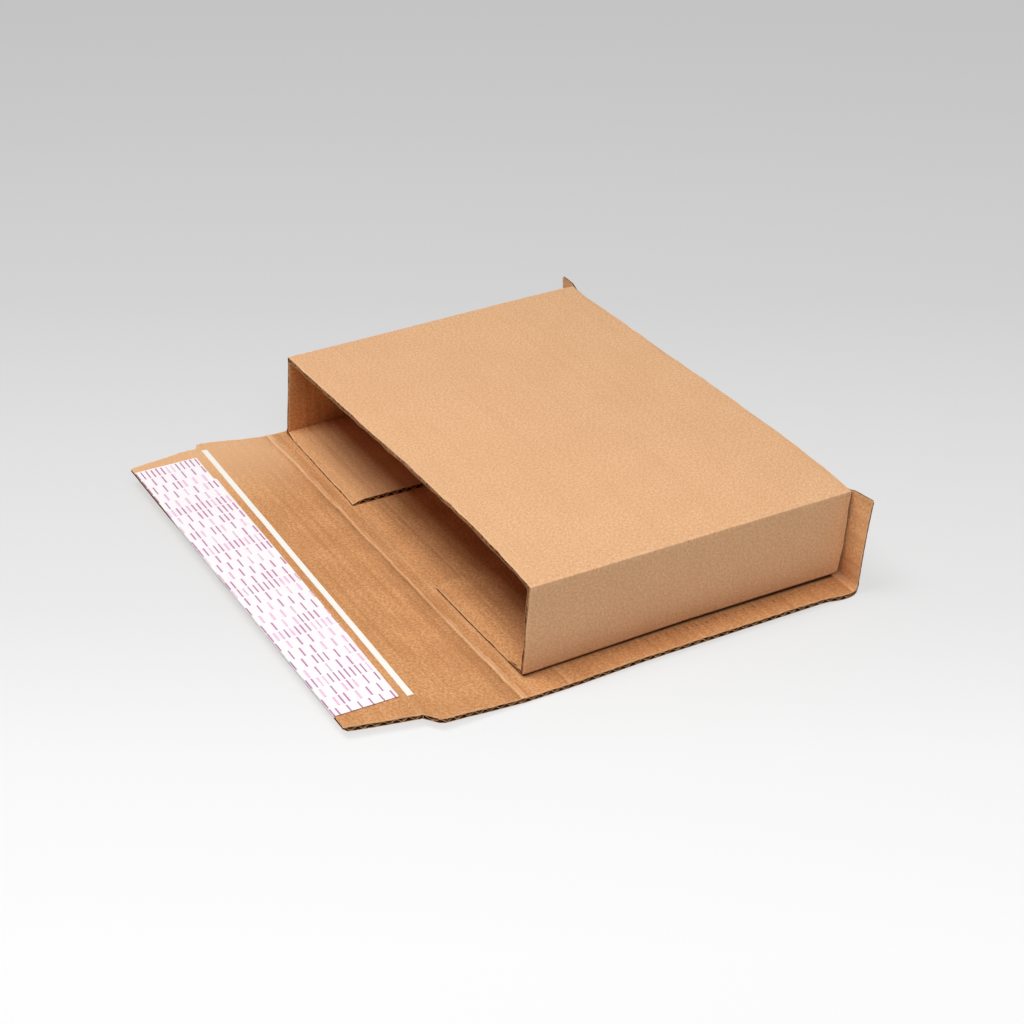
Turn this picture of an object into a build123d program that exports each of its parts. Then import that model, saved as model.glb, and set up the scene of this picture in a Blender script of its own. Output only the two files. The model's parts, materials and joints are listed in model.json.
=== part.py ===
from build123d import *
from math import ceil, cos, floor, log, pi, radians, sin, tan
import os

# A corrugated mailing carton: a wrap sheet with a closing flap and an end flap,
# and a sleeve folded from a second sheet and glued on the wrap sheet by two flaps.
# Millimetres. X runs along the wrap sheet, from the closing flap to the end flap.
# Y runs across it, from front to back. Z is up, and 0 is the underside of the base.
# The origin is the middle of the base's underside.

# Board, three plies: liner, fluted medium, liner
BOARD = 3.2
LINER = 0.4
FLUTE_PITCH = 6.4
FLUTE_CREST = 0.9
MEDIUM = 0.5
CRUSH = 1.0

# How far a cut reaches past the edge or face that it trims
CUT_PAST = 1.0

# Sleeve
SLEEVE_WIDTH = 310.0
SLEEVE_DEPTH = 210.0
SLEEVE_HEIGHT = 60.0
SLEEVE_LEAN = 9.0
SLEEVE_BOW = 5.0
BOW_PEAK = 0.28
BOW_STEPS = 6
FRONT_GLUE_FLAP = 98.0
BACK_GLUE_FLAP = 103.6

# Wrap sheet
FRONT_MARGIN = 21.5
BACK_MARGIN = 5.0
FOLD_SETBACK = 3.0
INNER_SCORE = 18.4
OUTER_SCORE = 7.9
SCORE_WIDTH = 1.8
SCORE_DEPTH = 0.3

# Closing flap, with the shoulders where it narrows to the seal flap
WALL_RISE = 6.0
FRONT_SHOULDER_RUN = 7.0
FRONT_SHOULDER_INSET = 9.0
BACK_SHOULDER_RUN = 2.5
BACK_SHOULDER_INSET = 6.8
SHOULDER_SETBACK = 8.8

# Seal flap
SEAL_DEPTH = 40.5
SEAL_RISE = 0.0
FRONT_TAPER = 9.5
BACK_TAPER = 5.2
CLOSING_GAP = 0.4

# End flap
END_GAP = 0.5
END_FLARE = 3.0
END_CORNER = 1.2

# Tear tape
TAPE_WIDTH = 3.7
TAPE_THICKNESS = 0.2
TAPE_SETBACK = 2.4
TAPE_SKEW = 5.5
TAPE_FRONT_INSET = 28.0
TAPE_BACK_INSET = 10.5

# Adhesive strip and the release liner over it
GLUE_THICKNESS = 0.2
GLUE_BORDER = 1.0
FILM_THICKNESS = 0.15
FILM_SETBACK = 2.2
FILM_SKEW = 2.0
FILM_EDGE = 0.4
FILM_FRONT_INSET = 29.0
FILM_BACK_INSET = 17.0
FILM_STEP = 1.6
FILM_STEP_LENGTH = 30.0

# Places along X
BASE_LENGTH = FOLD_SETBACK + SLEEVE_DEPTH + END_GAP + BOARD
CLOSING_FOLD_X = -BASE_LENGTH / 2
OPENING_X = CLOSING_FOLD_X + FOLD_SETBACK
END_FOLD_X = BASE_LENGTH / 2

# Places along Y
BASE_WIDTH = FRONT_MARGIN + SLEEVE_WIDTH + BACK_MARGIN
FRONT_Y = -BASE_WIDTH / 2
BACK_Y = BASE_WIDTH / 2
SLEEVE_FRONT_Y = FRONT_Y + FRONT_MARGIN
SLEEVE_BACK_Y = BACK_Y - BACK_MARGIN

# The closing flap is as long as the wall that it makes when it stands at the opening
CLOSED_HEIGHT = SLEEVE_HEIGHT + SLEEVE_BOW + GLUE_THICKNESS + FILM_THICKNESS + CLOSING_GAP
WALL_LENGTH = CLOSED_HEIGHT - OUTER_SCORE * cos(radians(WALL_RISE))


def point_along(start, angle, distance):
    """The point at a distance from start, going to -X and up at an angle in degrees."""
    x = start[0] - distance * cos(radians(angle))
    z = start[1] + distance * sin(radians(angle))
    return (x, z)


CLOSING_FOLD = (CLOSING_FOLD_X, BOARD)
OUTER_SCORE_AT = point_along(CLOSING_FOLD, 0, OUTER_SCORE)
SEAL_FOLD = point_along(OUTER_SCORE_AT, WALL_RISE, WALL_LENGTH)


def cell(middle, wide_outside):
    """One hollow between the medium and a liner, as (along the sheet, depth) corners."""
    crest = FLUTE_CREST / 2
    wide = FLUTE_PITCH / 2 - MEDIUM - crest
    inner_half = crest if wide_outside else wide
    outer_half = wide if wide_outside else crest
    return [
        (middle - inner_half, LINER),
        (middle + inner_half, LINER),
        (middle + outer_half, BOARD - LINER),
        (middle - outer_half, BOARD - LINER),
    ]


def cells_between(start, end):
    """The hollows that fit whole between two places along the sheet, centred in the stretch."""
    half_pitch = FLUTE_PITCH / 2
    widest = FLUTE_PITCH / 2 - MEDIUM - FLUTE_CREST / 2
    room = end - start - 2 * widest - 2 * CRUSH
    steps = floor(room / half_pitch)
    first = (start + end - steps * half_pitch) / 2
    return [cell(first + i * half_pitch, i % 2 == 0) for i in range(steps + 1)]


def cells_from_edge(edge, end):
    """The hollows inward from a cut edge that opens a flute, up to a crease at end."""
    half_pitch = FLUTE_PITCH / 2
    widest = FLUTE_PITCH / 2 - MEDIUM - FLUTE_CREST / 2
    steps = floor((abs(end - edge) - widest - CRUSH) / half_pitch)
    way = 1 if end > edge else -1
    return [cell(edge + way * i * half_pitch, i % 2 == 0) for i in range(1, steps + 1)]


def open_edge(edge, way):
    """Corners of a cut edge that runs along a flute, from the inner face to the outer face."""
    half_cell = cell(edge, True)
    inner = abs(half_cell[1][0] - edge)
    outer = abs(half_cell[2][0] - edge)
    return [
        (edge, 0),
        (edge, LINER),
        (edge + way * inner, LINER),
        (edge + way * outer, BOARD - LINER),
        (edge, BOARD - LINER),
        (edge, BOARD),
    ]


def score(at):
    """Corners of a score pressed into the inner face."""
    return [(at - SCORE_WIDTH / 2, 0), (at, SCORE_DEPTH), (at + SCORE_WIDTH / 2, 0)]


def section_face(ring, cells, place):
    """A face in the XZ plane from sheet corners that place() turns into (x, z)."""
    def wire(corners):
        points = [place(*corner) for corner in corners]
        return Wire.make_polygon([(x, 0, z) for x, z in points])
    return Face(wire(ring), [wire(corners) for corners in cells])


def across(face, start=FRONT_Y, end=BACK_Y):
    """The board that a section gives when it runs from start to end along Y."""
    moved = face.moved(Location((0, start, 0)))
    return Solid.extrude(moved, Vector(0, end - start, 0))


def plan_prism(corners, plane, height):
    """A prism that stands on a plane, from (along, y) corners in that plane."""
    wire = Wire.make_polygon([plane.from_local_coords((-u, y, 0)) for u, y in corners])
    return Solid.extrude(Face(wire), plane.z_dir * height)


def plan_cut(corners, plane):
    """A prism right through a panel's board, to cut it away with."""
    return plan_prism(corners, plane.offset(-BOARD - CUT_PAST), BOARD + 2 * CUT_PAST)


def panel_plane(start, angle):
    """The plane of a panel's inner face: local X points back along the panel, local Y is Y."""
    rise = radians(angle)
    return Plane(
        origin=(start[0], 0, start[1]),
        x_dir=(cos(rise), 0, -sin(rise)),
        z_dir=(sin(rise), 0, cos(rise)),
    )


WALL_PLANE = panel_plane(OUTER_SCORE_AT, WALL_RISE)
SEAL_PLANE = panel_plane(SEAL_FOLD, SEAL_RISE)


def make_base():
    """The part of the wrap sheet under the sleeve, mitred at the end flap's fold."""
    start = CLOSING_FOLD_X
    end = END_FOLD_X
    inner_score = OPENING_X + INNER_SCORE
    ring = [(start, BOARD), (start, 0)]
    ring += score(inner_score)
    ring += [(end - BOARD, 0), (end, BOARD)]
    cells = cells_between(start, inner_score)
    cells += cells_between(inner_score, end - BOARD)
    return across(section_face(ring, cells, lambda x, depth: (x, BOARD - depth)))


def make_closing_flap():
    """The wall that stands at the opening: bent up a little beyond its outer score."""
    bend = radians(WALL_RISE)
    length = OUTER_SCORE + WALL_LENGTH

    def place(along, depth):
        if along < OUTER_SCORE:
            return (CLOSING_FOLD_X - along, BOARD - depth)
        if along == OUTER_SCORE:
            mitre = depth * tan(bend / 2)
            return (OUTER_SCORE_AT[0] - mitre, BOARD - depth)
        x, z = point_along(OUTER_SCORE_AT, WALL_RISE, along - OUTER_SCORE)
        return (x - depth * sin(bend), z - depth * cos(bend))

    ring = [(0, BOARD), (0, 0)]
    ring += score(OUTER_SCORE)
    ring += [(length, 0), (length, BOARD), (OUTER_SCORE, BOARD)]
    cells = cells_between(0, OUTER_SCORE)
    cells += cells_between(OUTER_SCORE, length)
    flap = across(section_face(ring, cells, place))
    return flap - shoulder_cuts()


def seal_edges():
    """Where the seal flap's front and back edges start, at its fold."""
    return FRONT_Y + FRONT_SHOULDER_INSET, BACK_Y - BACK_SHOULDER_INSET


def shoulder_cuts():
    """What is cut away where the closing flap narrows, front and back."""
    start = WALL_LENGTH - SHOULDER_SETBACK
    past = WALL_LENGTH + CUT_PAST
    front_edge, back_edge = seal_edges()
    front = [
        (start, FRONT_Y - CUT_PAST),
        (start, FRONT_Y),
        (start + FRONT_SHOULDER_RUN, front_edge),
        (past, front_edge),
        (past, FRONT_Y - CUT_PAST),
    ]
    back = [
        (start, BACK_Y + CUT_PAST),
        (start, BACK_Y),
        (start + BACK_SHOULDER_RUN, back_edge),
        (past, back_edge),
        (past, BACK_Y + CUT_PAST),
    ]
    return [plan_cut(corners, WALL_PLANE) for corners in (front, back)]


def make_seal_flap():
    """The narrower flap that is glued down on the sleeve, with tapered ends."""
    rise = radians(SEAL_RISE)
    slant = tan(radians(WALL_RISE - SEAL_RISE))

    def place(along, depth):
        x, z = point_along(SEAL_FOLD, SEAL_RISE, along)
        return (x - depth * sin(rise), z - depth * cos(rise))

    ring = [(BOARD * slant, BOARD), (0, 0)]
    ring += open_edge(SEAL_DEPTH, -1)
    cells = cells_from_edge(SEAL_DEPTH, 0)
    front_edge, back_edge = seal_edges()
    flap = across(section_face(ring, cells, place), front_edge, back_edge)
    past = SEAL_DEPTH + CUT_PAST
    front_slope = FRONT_TAPER / SEAL_DEPTH
    back_slope = BACK_TAPER / SEAL_DEPTH
    front = [
        (0, front_edge),
        (past, front_edge + past * front_slope),
        (past, front_edge - CUT_PAST),
        (0, front_edge - CUT_PAST),
    ]
    back = [
        (0, back_edge),
        (past, back_edge - past * back_slope),
        (past, back_edge + CUT_PAST),
        (0, back_edge + CUT_PAST),
    ]
    return flap - [plan_cut(corners, SEAL_PLANE) for corners in (front, back)]


def make_end_flap():
    """The flap that stands at the sleeve's far end, mitred to the base at its fold."""
    inner_face = END_FOLD_X - BOARD
    top = SLEEVE_HEIGHT
    ring = [(-BOARD, BOARD), (0, 0)]
    ring += open_edge(top, -1)
    cells = cells_from_edge(top, 0)
    face = section_face(ring, cells, lambda up, depth: (inner_face + depth, BOARD + up))
    flap = across(face, FRONT_Y - END_FLARE, BACK_Y + END_FLARE)
    return flap - [end_flap_cut(FRONT_Y, -1), end_flap_cut(BACK_Y, 1)]


def end_flap_cut(edge, way):
    """What is cut away beside the end flap, so that it widens upward to a clipped corner."""
    top = BOARD + SLEEVE_HEIGHT
    widest = edge + way * END_FLARE
    outside = widest + way * CUT_PAST
    outline = [
        (edge, -CUT_PAST),
        (edge, BOARD),
        (widest, top - END_CORNER),
        (widest - way * END_CORNER, top),
        (widest - way * END_CORNER, top + CUT_PAST),
        (outside, top + CUT_PAST),
        (outside, -CUT_PAST),
    ]
    start = END_FOLD_X - BOARD - CUT_PAST
    wire = Wire.make_polygon([(start, y, z) for y, z in outline])
    return Solid.extrude(Face(wire), Vector(BOARD + 2 * CUT_PAST, 0, 0))


def sleeve_path():
    """The sleeve's outer face seen along X: up from one glue flap, over and back down."""
    low = BOARD
    high = BOARD + SLEEVE_HEIGHT
    top_front = SLEEVE_FRONT_Y - SLEEVE_LEAN
    path = [(SLEEVE_FRONT_Y + FRONT_GLUE_FLAP, low), (SLEEVE_FRONT_Y, low)]
    for i in range(BOW_STEPS + 1):
        share = i / BOW_STEPS
        bow = SLEEVE_BOW * sin(pi * share ** bow_power())
        path.append((top_front + share * SLEEVE_WIDTH, high + bow))
    path += [(SLEEVE_BACK_Y, low), (SLEEVE_BACK_Y - BACK_GLUE_FLAP, low)]
    return path


def bow_power():
    """The power that puts the top panel's highest place at BOW_PEAK of its width."""
    return log(0.5) / log(BOW_PEAK)


def make_sleeve():
    """The sleeve: a board section carried round its path, one straight run at a time."""
    path = sleeve_path()
    stations = [station(path, i) for i in range(len(path))]
    rings = [sleeve_ring()] + sleeve_cells()

    def at(index, along, depth):
        (y, z), (step_y, step_z) = stations[index]
        return (OPENING_X + along, y + step_y * depth, z + step_z * depth)

    faces = []
    for ring in rings:
        for i in range(len(stations) - 1):
            for a, b in zip(ring, ring[1:] + ring[:1]):
                corners = [at(i, *a), at(i, *b), at(i + 1, *b), at(i + 1, *a)]
                faces.append(Face(Wire.make_polygon(corners)))
    for i in (0, len(stations) - 1):
        wires = [Wire.make_polygon([at(i, *corner) for corner in ring]) for ring in rings]
        faces.append(Face(wires[0], wires[1:]))
    return Solid(Shell(faces))


def station(path, i):
    """A place on the path and the step inward from it for each millimetre of depth."""
    before = Vector(*path[i]) - Vector(*path[i - 1]) if i > 0 else None
    after = Vector(*path[i + 1]) - Vector(*path[i]) if i < len(path) - 1 else None
    runs = [run.normalized() for run in (before, after) if run is not None]
    inward = [Vector(run.Y, -run.X) for run in runs]
    middle = (inward[0] + inward[-1]).normalized()
    step = middle * (1 / middle.dot(inward[0]))
    return path[i], (step.X, step.Y)


def sleeve_ring():
    """The outline of the sleeve's board, cut along a flute at both ends."""
    near = open_edge(0, 1)
    far = open_edge(SLEEVE_DEPTH, -1)
    return near[::-1] + far


def sleeve_cells():
    """The flutes that run round the sleeve, spaced evenly between its two cut edges."""
    half_pitch = SLEEVE_DEPTH / (2 * ceil(SLEEVE_DEPTH / FLUTE_PITCH))
    count = round(SLEEVE_DEPTH / half_pitch)
    return [cell(i * half_pitch, i % 2 == 0) for i in range(1, count)]


def make_tear_tape():
    """The narrow tape across the closing flap, just short of the seal flap's fold."""
    front = FRONT_Y + TAPE_FRONT_INSET
    back = BACK_Y - TAPE_BACK_INSET
    outer = WALL_LENGTH - TAPE_SETBACK
    corners = [
        (outer, front),
        (outer - TAPE_SKEW, back),
        (outer - TAPE_SKEW - TAPE_WIDTH, back),
        (outer - TAPE_WIDTH, front),
    ]
    return plan_prism(corners, WALL_PLANE, TAPE_THICKNESS)


def film_outline(border):
    """The release liner's outline on the seal flap, or what lies a border inside it."""
    inner_front = FILM_SETBACK + border
    inner_back = inner_front - FILM_SKEW
    outer = SEAL_DEPTH - FILM_EDGE - border
    front = FRONT_Y + FILM_FRONT_INSET + border
    back = BACK_Y - FILM_BACK_INSET - border
    step_at = back - FILM_STEP_LENGTH
    return [
        (inner_front, front),
        (inner_back, step_at),
        (inner_back + FILM_STEP, step_at),
        (inner_back + FILM_STEP, back),
        (outer, back),
        (outer, front),
    ]


def make_adhesive_strip():
    """The self-adhesive strip on the seal flap."""
    return plan_prism(film_outline(GLUE_BORDER), SEAL_PLANE, GLUE_THICKNESS)


def make_release_liner():
    """The paper liner that covers the adhesive until the carton is sealed."""
    plane = SEAL_PLANE.offset(GLUE_THICKNESS)
    return plan_prism(film_outline(0), plane, FILM_THICKNESS)


parts = {
    "wrap_base": make_base(),
    "closing_flap": make_closing_flap(),
    "seal_flap": make_seal_flap(),
    "end_flap": make_end_flap(),
    "sleeve": make_sleeve(),
    "tear_tape": make_tear_tape(),
    "adhesive_strip": make_adhesive_strip(),
    "release_liner": make_release_liner(),
}

os.makedirs("parts", exist_ok=True)
for name, shape in parts.items():
    export_step(shape, f"parts/{name}.step")
print("closing fold at x", CLOSING_FOLD_X, "z", BOARD)
print("seal fold at", SEAL_FOLD)
print("end fold at x", END_FOLD_X, "z", 0)
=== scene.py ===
import bpy
import bmesh
import json
import math
import numpy as np
from functools import partial
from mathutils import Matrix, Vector, noise


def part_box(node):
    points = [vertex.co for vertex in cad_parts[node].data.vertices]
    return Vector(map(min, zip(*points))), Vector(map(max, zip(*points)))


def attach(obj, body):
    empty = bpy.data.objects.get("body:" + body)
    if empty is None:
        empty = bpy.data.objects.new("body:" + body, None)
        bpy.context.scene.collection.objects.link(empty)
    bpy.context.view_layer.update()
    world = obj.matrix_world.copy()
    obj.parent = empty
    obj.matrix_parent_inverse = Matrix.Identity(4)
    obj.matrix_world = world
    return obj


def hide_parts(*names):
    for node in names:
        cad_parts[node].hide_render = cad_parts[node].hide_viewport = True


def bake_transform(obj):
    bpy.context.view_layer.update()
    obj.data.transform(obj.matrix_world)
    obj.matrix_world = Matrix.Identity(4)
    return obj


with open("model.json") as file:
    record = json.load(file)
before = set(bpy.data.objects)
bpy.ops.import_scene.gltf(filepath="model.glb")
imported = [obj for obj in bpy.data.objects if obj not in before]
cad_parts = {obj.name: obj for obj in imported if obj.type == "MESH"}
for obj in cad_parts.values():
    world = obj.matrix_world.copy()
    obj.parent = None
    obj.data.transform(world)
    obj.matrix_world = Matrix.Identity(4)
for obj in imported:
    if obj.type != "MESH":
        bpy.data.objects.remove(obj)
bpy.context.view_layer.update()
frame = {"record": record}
mm = 0.001  # sizes below are in millimetres, the scene is in metres

# the board that everything is cut from: two liners and a wave between them
board = {
    "thickness": 3.2,
    "liner": 0.38,
    "medium": 0.26,
    "flutePitch": 6.4,
    "wavePoints": 8,  # points in one wave
    "cutInset": 0.6,  # how far inside a cut along the flutes the wave's last wall stands
    "raggedness": 0.16,  # how unevenly a knife edge runs
}
thickness = board["thickness"]
onEdge = 0.01  # nearer than this, a point lies on an edge
plyShift = 900  # sets each ply on its own part of the paper's pattern
sharpFrom = 38  # degrees, from which an edge is drawn sharp

# where the CAD nodes stand, which sets all the places below
baseLow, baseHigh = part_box("wrap_base")
sleeveLow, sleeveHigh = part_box("sleeve")
foldAt = {joint["name"]: joint["pos_m"] for joint in frame["record"]["behaviour"]["joints"]}
closingFoldX = foldAt["closing_fold"][0] / mm
sealFoldX = foldAt["seal_fold"][0] / mm
endFoldX = foldAt["end_fold"][0] / mm
frontY = baseLow.y / mm
backY = baseHigh.y / mm
baseTop = baseHigh.z / mm
openingX = sleeveLow.x / mm
print("frame loaded, base", round(baseHigh.x - baseLow.x, 4), "by", round(baseHigh.y - baseLow.y, 4))


# helpers for even numbers

def softStep(x):
    # rises from 0 to 1 without a kink
    x = np.clip(x, 0, 1)
    return x * x * (3 - 2 * x)


def fade(value, start, reach):
    # rises softly from 0 at start to 1 where the reach ends, which may lie below the start
    return softStep((value - start) / reach)


def bump(x, width):
    return np.exp(-(x / width) ** 2)


def roughLine(values, size, seed):
    # smooth wander between -1 and 1 along a line of values in millimetres
    out = [noise.noise(Vector((v / size, seed * 7.31, seed * 3.17))) for v in np.ravel(values)]
    return 1.6 * np.array(out).reshape(np.shape(values))


def roughPlane(a, b, size, seed):
    # the same over a sheet
    pairs = zip(np.ravel(a), np.ravel(b))
    out = [noise.noise(Vector((x / size, y / size, seed * 5.71))) for x, y in pairs]
    return 1.6 * np.array(out).reshape(np.shape(a))


def spread(start, end, step, fine=(), fineStep=0.5, fineReach=3.0):
    # stations from start to end, closer together round the fine places
    stations = [np.linspace(start, end, max(2, int(round(abs(end - start) / step)) + 1))]
    for place in fine:
        near = np.arange(place - fineReach, place + fineReach + fineStep / 2, fineStep)
        stations.append(near[(near > start) & (near < end)])
    found = np.unique(np.round(np.concatenate(stations), 3))
    tooClose = fineStep * 0.45
    keep = [found[0]]
    for value in found[1:-1]:
        if value - keep[-1] > tooClose and found[-1] - value > tooClose:
            keep.append(value)
    return np.array(keep + [found[-1]])


# meshes

def slab(lower, upper, faceSlot, backSlot, edgeSlot, wearLightLower, wearLightUpper, uvLower, uvUpper):
    # a thin closed sheet between two grids of points, with its walls
    rows, columns = lower.shape[:2]
    index = np.arange(rows * columns).reshape(rows, columns)
    quads, slots = [], []

    def patch(grid, material):
        a, b = grid[:-1, :-1].ravel(), grid[1:, :-1].ravel()
        c, d = grid[1:, 1:].ravel(), grid[:-1, 1:].ravel()
        quads.append(np.stack([a, b, c, d], 1))
        slots.append(np.full(len(a), material))

    patch(index, faceSlot)
    patch((index + rows * columns)[::-1], backSlot)
    for line in (index[0], index[-1][::-1], index[:, 0][::-1], index[:, -1]):
        patch(np.stack([line, line + rows * columns]), edgeSlot)
    return {
        "points": np.concatenate([lower.reshape(-1, 3), upper.reshape(-1, 3)]),
        "quads": np.concatenate(quads),
        "slots": np.concatenate(slots),
        "wearAndPaintedLight": np.concatenate([wearLightLower.ravel(), wearLightUpper.ravel()]),
        "uv": np.concatenate([uvLower.reshape(-1, 2), uvUpper.reshape(-1, 2)]),
    }


def meshFrom(name, slabs, materials):
    # one mesh of several slabs, with its map and its wear, painted light and painted shade
    points, slots, wearAndPaintedLight, uv = (
        np.concatenate([part[key] for part in slabs]) for key in ("points", "slots", "wearAndPaintedLight", "uv"))
    starts = np.cumsum([0] + [len(part["points"]) for part in slabs])
    quads = np.concatenate([part["quads"] + start for part, start in zip(slabs, starts)])
    mesh = bpy.data.meshes.new(name)
    mesh.from_pydata((points * mm).tolist(), [], quads.tolist())
    mesh.polygons.foreach_set("material_index", slots.astype(np.int32))
    sheetMap = mesh.uv_layers.new(name="sheet")
    corners = np.empty(len(mesh.loops), np.int32)
    mesh.loops.foreach_get("vertex_index", corners)
    sheetMap.data.foreach_set("uv", (uv * mm)[corners].astype(np.float32).ravel())
    wear = mesh.attributes.new("wearAndPaintedLight", "FLOAT", "POINT")
    wear.data.foreach_set("value", wearAndPaintedLight.astype(np.float32))
    work = bmesh.new()
    work.from_mesh(mesh)
    bmesh.ops.recalc_face_normals(work, faces=work.faces)
    work.to_mesh(mesh)
    work.free()
    mesh.shade_smooth()
    mesh.set_sharp_from_angle(angle=math.radians(sharpFrom))
    for material in materials:
        mesh.materials.append(material)
    piece = bpy.data.objects.new(name, mesh)
    bpy.context.scene.collection.objects.link(piece)
    print("built", name, len(quads) * 2, "triangles")
    return piece


# corrugated board laid along a rail
# place(across, along, depth, ply) gives a point: across the flutes, along them, and below the face

def corrugated(name, place, acrossStations, alongStations, mediumAlong, edges, wearAndLightAt, materials):
    liner, medium = board["liner"], board["medium"]
    startAcross, endAcross = acrossStations[0], acrossStations[-1]
    parts = []

    def grid(across, shares, depth, ply):
        low, high = edges(across)
        alongs = low[:, None] + (high - low)[:, None] * shares[None, :]
        acrosses = np.repeat(across[:, None], len(shares), 1)
        depths = np.broadcast_to(depth[:, None], alongs.shape)
        return acrosses, alongs, place(acrosses, alongs, depths, ply)

    def liningPly(top, bottom, ply, topSlot, bottomSlot, shift):
        flat = np.ones(len(acrossStations))
        acrosses, alongs, upper = grid(acrossStations, alongStations, top * flat, ply)
        lower = grid(acrossStations, alongStations, bottom * flat, ply)[2]
        wearAndPaintedLight = wearAndLightAt(acrosses, alongs, ply)
        uv = np.stack([acrosses, alongs + shift], -1)
        parts.append(slab(upper, lower, topSlot, bottomSlot, 2, wearAndPaintedLight, wearAndPaintedLight, uv, uv + [[0, 3]]))

    # the sides that face the wave get the dark brown of slot 4, painted shade
    liningPly(0.0, liner, 0, 0, 4, 0)
    liningPly(thickness - liner, thickness, 2, 4, 1, plyShift)

    # the medium: a sine wave with an even thickness along its own normal, squashed upright inside each cut
    first, last = startAcross + board["cutInset"], endAcross - board["cutInset"]
    waves = max(1, int(round((last - first) / board["flutePitch"])))
    wavePitch = (last - first) / waves
    theta = np.linspace(0, 2 * math.pi * waves, waves * board["wavePoints"] + 1)
    height = (thickness - 2 * liner - medium) / 2
    run = first + theta * wavePitch / (2 * math.pi)
    rise = thickness / 2 - height * np.cos(theta)
    slope = height * np.sin(theta) * 2 * math.pi / wavePitch
    length = np.sqrt(1 + slope ** 2)
    foot = thickness - liner
    sides = []
    for way in (-1, 1):
        half = way * medium / 2
        across = np.concatenate([[first + half], run - slope / length * half, [last - half]])
        sides.append((across, np.concatenate([[foot], rise + half / length, [foot]])))
    surfaces = [grid(across, mediumAlong, depth, 1) for across, depth in sides]
    uv = np.stack([surfaces[0][0], surfaces[0][1] + 2 * plyShift], -1)
    none = np.zeros(surfaces[0][0].shape)
    parts.append(slab(surfaces[0][2], surfaces[1][2], 3, 3, 2, none, none, uv, uv))
    return meshFrom(name, parts, materials)


# materials

def join(tree, socket, value):
    if isinstance(value, bpy.types.NodeSocket):
        tree.links.new(value, socket)
    elif value is not None:
        socket.default_value = value


def addNode(tree, kind, *values, **settings):
    # a node with its settings, and its inputs set or joined in their order
    node = tree.nodes.new("ShaderNode" + kind)
    for key, setting in settings.items():
        setattr(node, key, setting)
    for socket, value in zip(node.inputs, values):
        join(tree, socket, value)
    return node


def emptyMaterial(name):
    material = bpy.data.materials.new(name)
    material.use_nodes = True
    tree = material.node_tree
    tree.nodes.clear()
    return material, tree, addNode(tree, "OutputMaterial")


def newMaterial(name):
    material, tree, output = emptyMaterial(name)
    shader = addNode(tree, "BsdfPrincipled")
    tree.links.new(shader.outputs[0], output.inputs[0])
    return material, tree, shader


def mathNode(tree, operation, *values):
    return addNode(tree, "Math", *values, operation=operation).outputs[0]


def mixColour(tree, factor, a, b):
    node = addNode(tree, "Mix", data_type="RGBA")
    join(tree, node.inputs["Factor"], factor)
    join(tree, node.inputs[6], a)
    join(tree, node.inputs[7], b)
    return node.outputs[2]


def sheetVector(tree, scaleAcross, scaleAlong):
    place = addNode(tree, "UVMap", uv_map="sheet")
    mapping = addNode(tree, "Mapping", place.outputs[0])
    mapping.inputs["Scale"].default_value = (scaleAcross, scaleAlong, 1)
    return mapping.outputs[0]


def noiseNode(tree, vector, scale, detail=3.0, roughness=0.55):
    node = addNode(tree, "TexNoise", vector, noise_dimensions="2D")
    node.inputs["Scale"].default_value = scale
    node.inputs["Detail"].default_value = detail
    node.inputs["Roughness"].default_value = roughness
    return node.outputs[0]


def ramp(tree, factor, low, high, outLow, outHigh):
    values = (factor, low, high, outLow, outHigh)
    return addNode(tree, "MapRange", *values, interpolation_type="SMOOTHSTEP").outputs[0]


def surface(tree, shader, colour, roughness, specular, height, strength):
    join(tree, shader.inputs["Base Color"], colour)
    join(tree, shader.inputs["Roughness"], roughness)
    join(tree, shader.inputs["Specular IOR Level"], specular)
    relief = addNode(tree, "Bump")
    relief.inputs["Strength"].default_value = strength
    relief.inputs["Distance"].default_value = 1.0
    join(tree, relief.inputs["Height"], height)
    join(tree, shader.inputs["Normal"], relief.outputs[0])


def srgb(r, g, b):
    def linear(c):
        c = c / 255
        return c / 12.92 if c <= 0.04045 else ((c + 0.055) / 1.055) ** 2.4
    return (linear(r), linear(g), linear(b), 1)


# what all kraft faces share: how large their patterns are, in cells for each metre
kraft = {
    "cloudScale": 26, "streakScale": 170, "patchScale": 40,
    # fibres, patches and streaks are drawn out along the flutes
    "fibreDraw": 0.45, "patchDraw": 0.25, "streakDraw": 0.04,
    "roughSpread": 0.07, "specular": 0.28, "sheen": 0.05, "relief": 0.8,
}


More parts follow.
